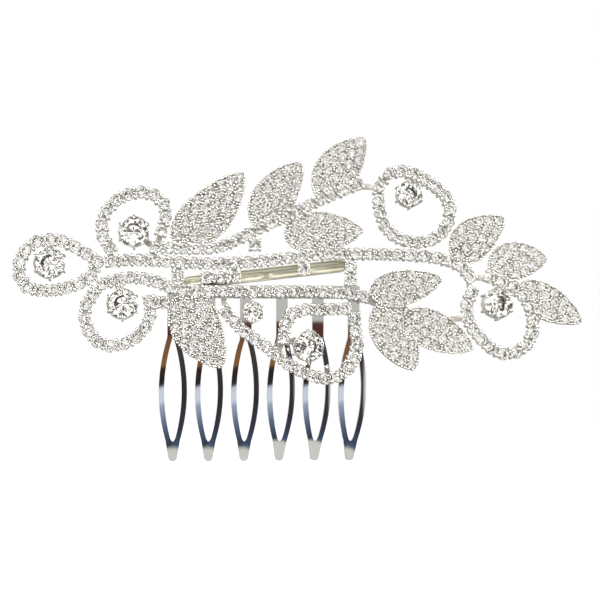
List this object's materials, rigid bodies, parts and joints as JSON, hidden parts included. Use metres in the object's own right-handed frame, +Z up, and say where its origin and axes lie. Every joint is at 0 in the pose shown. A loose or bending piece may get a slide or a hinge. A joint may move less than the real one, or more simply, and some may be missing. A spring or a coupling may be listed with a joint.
{
  "type": "rhinestone hair comb",
  "caption": "Slide-in hair comb with looped metal teeth, and a spray of stone-set leaves, loops, rings and stems soldered in front of its rail",
  "frame": {"origin": "on the front face of the comb's rail, at the middle of the lower edge, which the teeth leave", "axes": "+X runs along the comb to the right as seen from the front, +Y is to the back, +Z is up from the teeth; the stones face -Y"},
  "size_m": [0.1152, 0.0139, 0.0662],
  "materials": {
    "comb_plate": "bright nickel-toned plating on pressed and polished strip",
    "bar_plate": "folded strip, thinner and slightly warm plating",
    "solder": "tin solder, plated over and slightly rough",
    "setting_plate": "cast settings in bright silver-toned plating",
    "crystal": "clear faceted glass with a silver foil behind"
  },
  "bodies": {
    "root": {"comb": "comb_plate", "support_bar": "bar_plate", "solder_bridges": "solder", "end_ring_setting": "setting_plate", "end_ring_stones": "crystal", "top_ring_setting": "setting_plate", "top_ring_stones": "crystal", "middle_stem_setting": "setting_plate", "middle_stem_stones": "crystal", "lower_stem_setting": "setting_plate", "lower_stem_stones": "crystal", "upper_stem_setting": "setting_plate", "upper_stem_stones": "crystal", "left_loop_setting": "setting_plate", "left_loop_stones": "crystal", "upper_loop_setting": "setting_plate", "upper_loop_stones": "crystal", "lower_loop_setting": "setting_plate", "lower_loop_stones": "crystal", "drop_loop_setting": "setting_plate", "drop_loop_stones": "crystal", "inner_curl_setting": "setting_plate", "inner_curl_stones": "crystal", "link_cups_setting": "setting_plate", "link_cups_stones": "crystal", "leaf_a_setting": "setting_plate", "leaf_a_stones": "crystal", "leaf_b_setting": "setting_plate", "leaf_b_stones": "crystal", "leaf_c_setting": "setting_plate", "leaf_c_stones": "crystal", "leaf_d_setting": "setting_plate", "leaf_d_stones": "crystal", "leaf_e_setting": "setting_plate", "leaf_e_stones": "crystal", "leaf_f_setting": "setting_plate", "leaf_f_stones": "crystal", "leaf_g_setting": "setting_plate", "leaf_g_stones": "crystal", "leaf_h_setting": "setting_plate", "leaf_h_stones": "crystal", "leaf_i_setting": "setting_plate", "leaf_i_stones": "crystal", "leaf_j_setting": "setting_plate", "leaf_j_stones": "crystal", "leaf_k_setting": "setting_plate", "leaf_k_stones": "crystal", "left_loop_collet": "setting_plate", "upper_loop_collet": "setting_plate", "lower_loop_collet": "setting_plate", "middle_collet": "setting_plate", "drop_loop_collet": "setting_plate", "top_ring_collet": "setting_plate", "end_ring_collet": "setting_plate", "large_stones": "crystal"}
  },
  "joints": []
}
